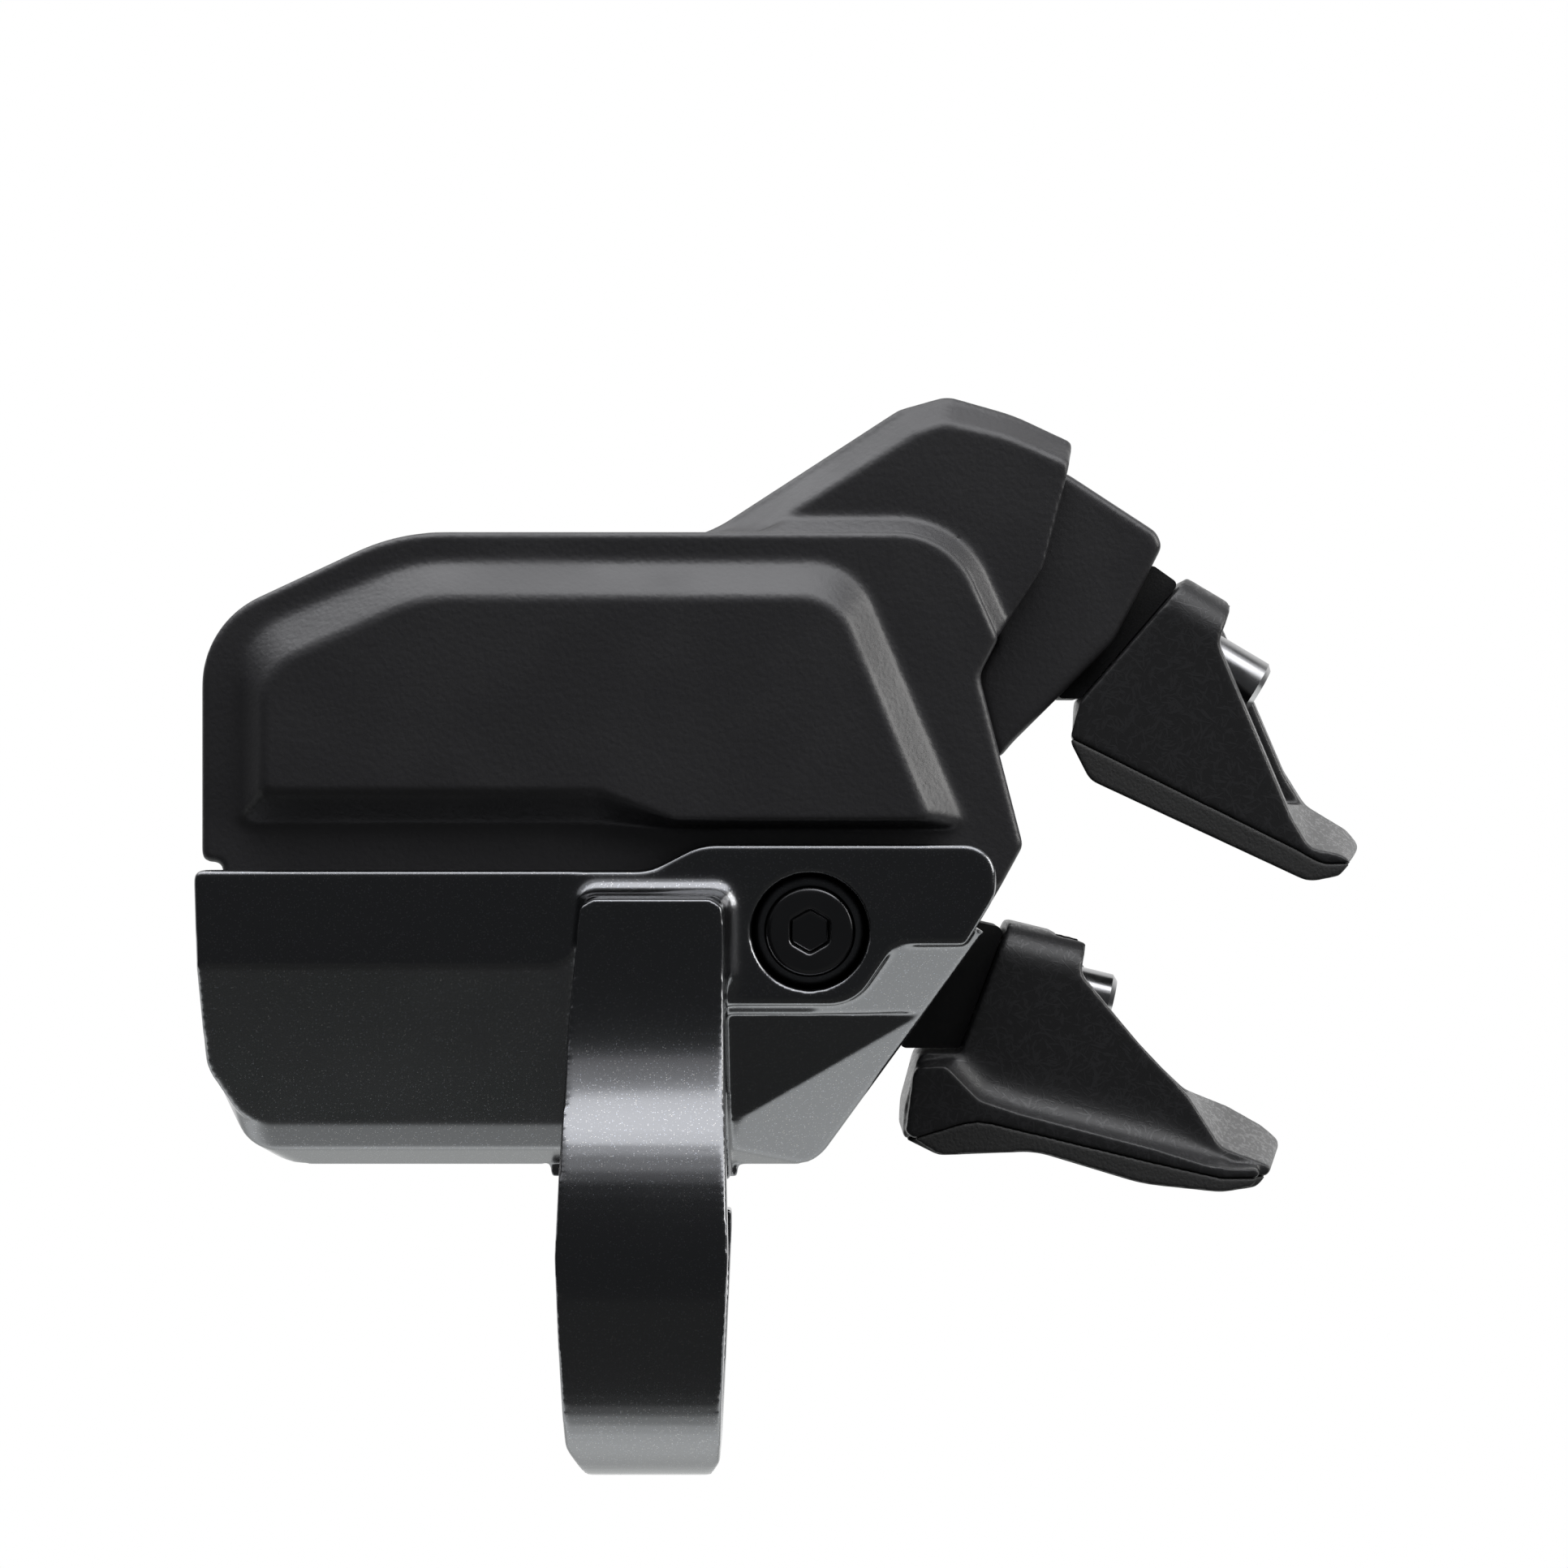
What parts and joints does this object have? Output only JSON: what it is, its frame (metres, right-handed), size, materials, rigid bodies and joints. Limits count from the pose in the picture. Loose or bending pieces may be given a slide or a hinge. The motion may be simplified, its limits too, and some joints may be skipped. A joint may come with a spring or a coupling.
{
  "type": "electronic shift switch",
  "caption": "Right-hand wireless shift switch for a bicycle handlebar: black housing on a split clamp band, with sprung thumb paddles that press switches inside.",
  "frame": {"origin": "centre of the handlebar clamp", "axes": "+X along the handlebar towards the grip, +Z ahead of the bar, -Y towards the rider, so up on the bicycle"},
  "size_m": [0.0772, 0.041, 0.0697],
  "materials": {
    "case_plastic": "fine leather grain, satin",
    "cast_paint": "gloss black with fine metal flakes",
    "black_steel": "black oxide, polished",
    "bolt_steel": "dark polished",
    "plain_steel": "bright",
    "brass": "turned",
    "paddle_plastic": "short fibre filled, satin",
    "pad_rubber": "rough grain",
    "soft_rubber": "matte",
    "lever_metal": "black anodised",
    "cover_plastic": "satin",
    "board": "solder mask",
    "module": "tinned can",
    "cell": "bright",
    "contact": "plated",
    "switch": "moulded",
    "ribbon": "film",
    "spring_steel": "drawn wire"
  },
  "bodies": {
    "switch_body": {"battery_contact_minus": "contact", "battery_contact_plus": "contact", "battery_cover": "cover_plastic", "battery_seal": "soft_rubber", "bracket_bolt": "black_steel", "bracket_insert": "brass", "case_gasket": "soft_rubber", "case_screw_1": "black_steel", "case_screw_2": "black_steel", "case_screw_3": "black_steel", "case_screw_4": "black_steel", "circuit_board": "board", "clamp_bolt": "black_steel", "clamp_bracket": "cast_paint", "clamp_nut": "plain_steel", "coin_cell": "cell", "front_case": "case_plastic", "lower_pivot_pin": "plain_steel", "lower_return_spring": "spring_steel", "lower_ribbon": "ribbon", "lower_switch": "switch", "paddle_arm": "case_plastic", "radio_module": "module", "rear_case": "case_plastic", "upper_pivot_pin": "plain_steel", "upper_return_spring": "spring_steel", "upper_ribbon": "ribbon", "upper_switch": "switch"},
    "upper_paddle_body": {"upper_boot": "soft_rubber", "upper_lever": "lever_metal", "upper_pad": "pad_rubber", "upper_paddle": "paddle_plastic", "upper_paddle_bolt": "bolt_steel"},
    "lower_paddle_body": {"lower_boot": "soft_rubber", "lower_lever": "lever_metal", "lower_pad": "pad_rubber", "lower_paddle": "paddle_plastic", "lower_paddle_bolt": "bolt_steel"}
  },
  "joints": [
    {"name": "upper_lever_hinge", "type": "hinge", "parent": "switch_body", "child": "upper_paddle_body", "pos_m": [0.028, 0.0195, 0.0438], "axis": [0, -1, 0], "range_deg": [0, 8], "stiffness_Nm_per_rad": 0.35, "springref_deg": -5.73, "deforming": ["upper_return_spring"]},
    {"name": "lower_lever_hinge", "type": "hinge", "parent": "switch_body", "child": "lower_paddle_body", "pos_m": [0.0155, 0.0195, 0.0189], "axis": [0, -1, 0], "range_deg": [0, 8], "stiffness_Nm_per_rad": 0.35, "springref_deg": -5.73, "deforming": ["lower_return_spring"]}
  ]
}
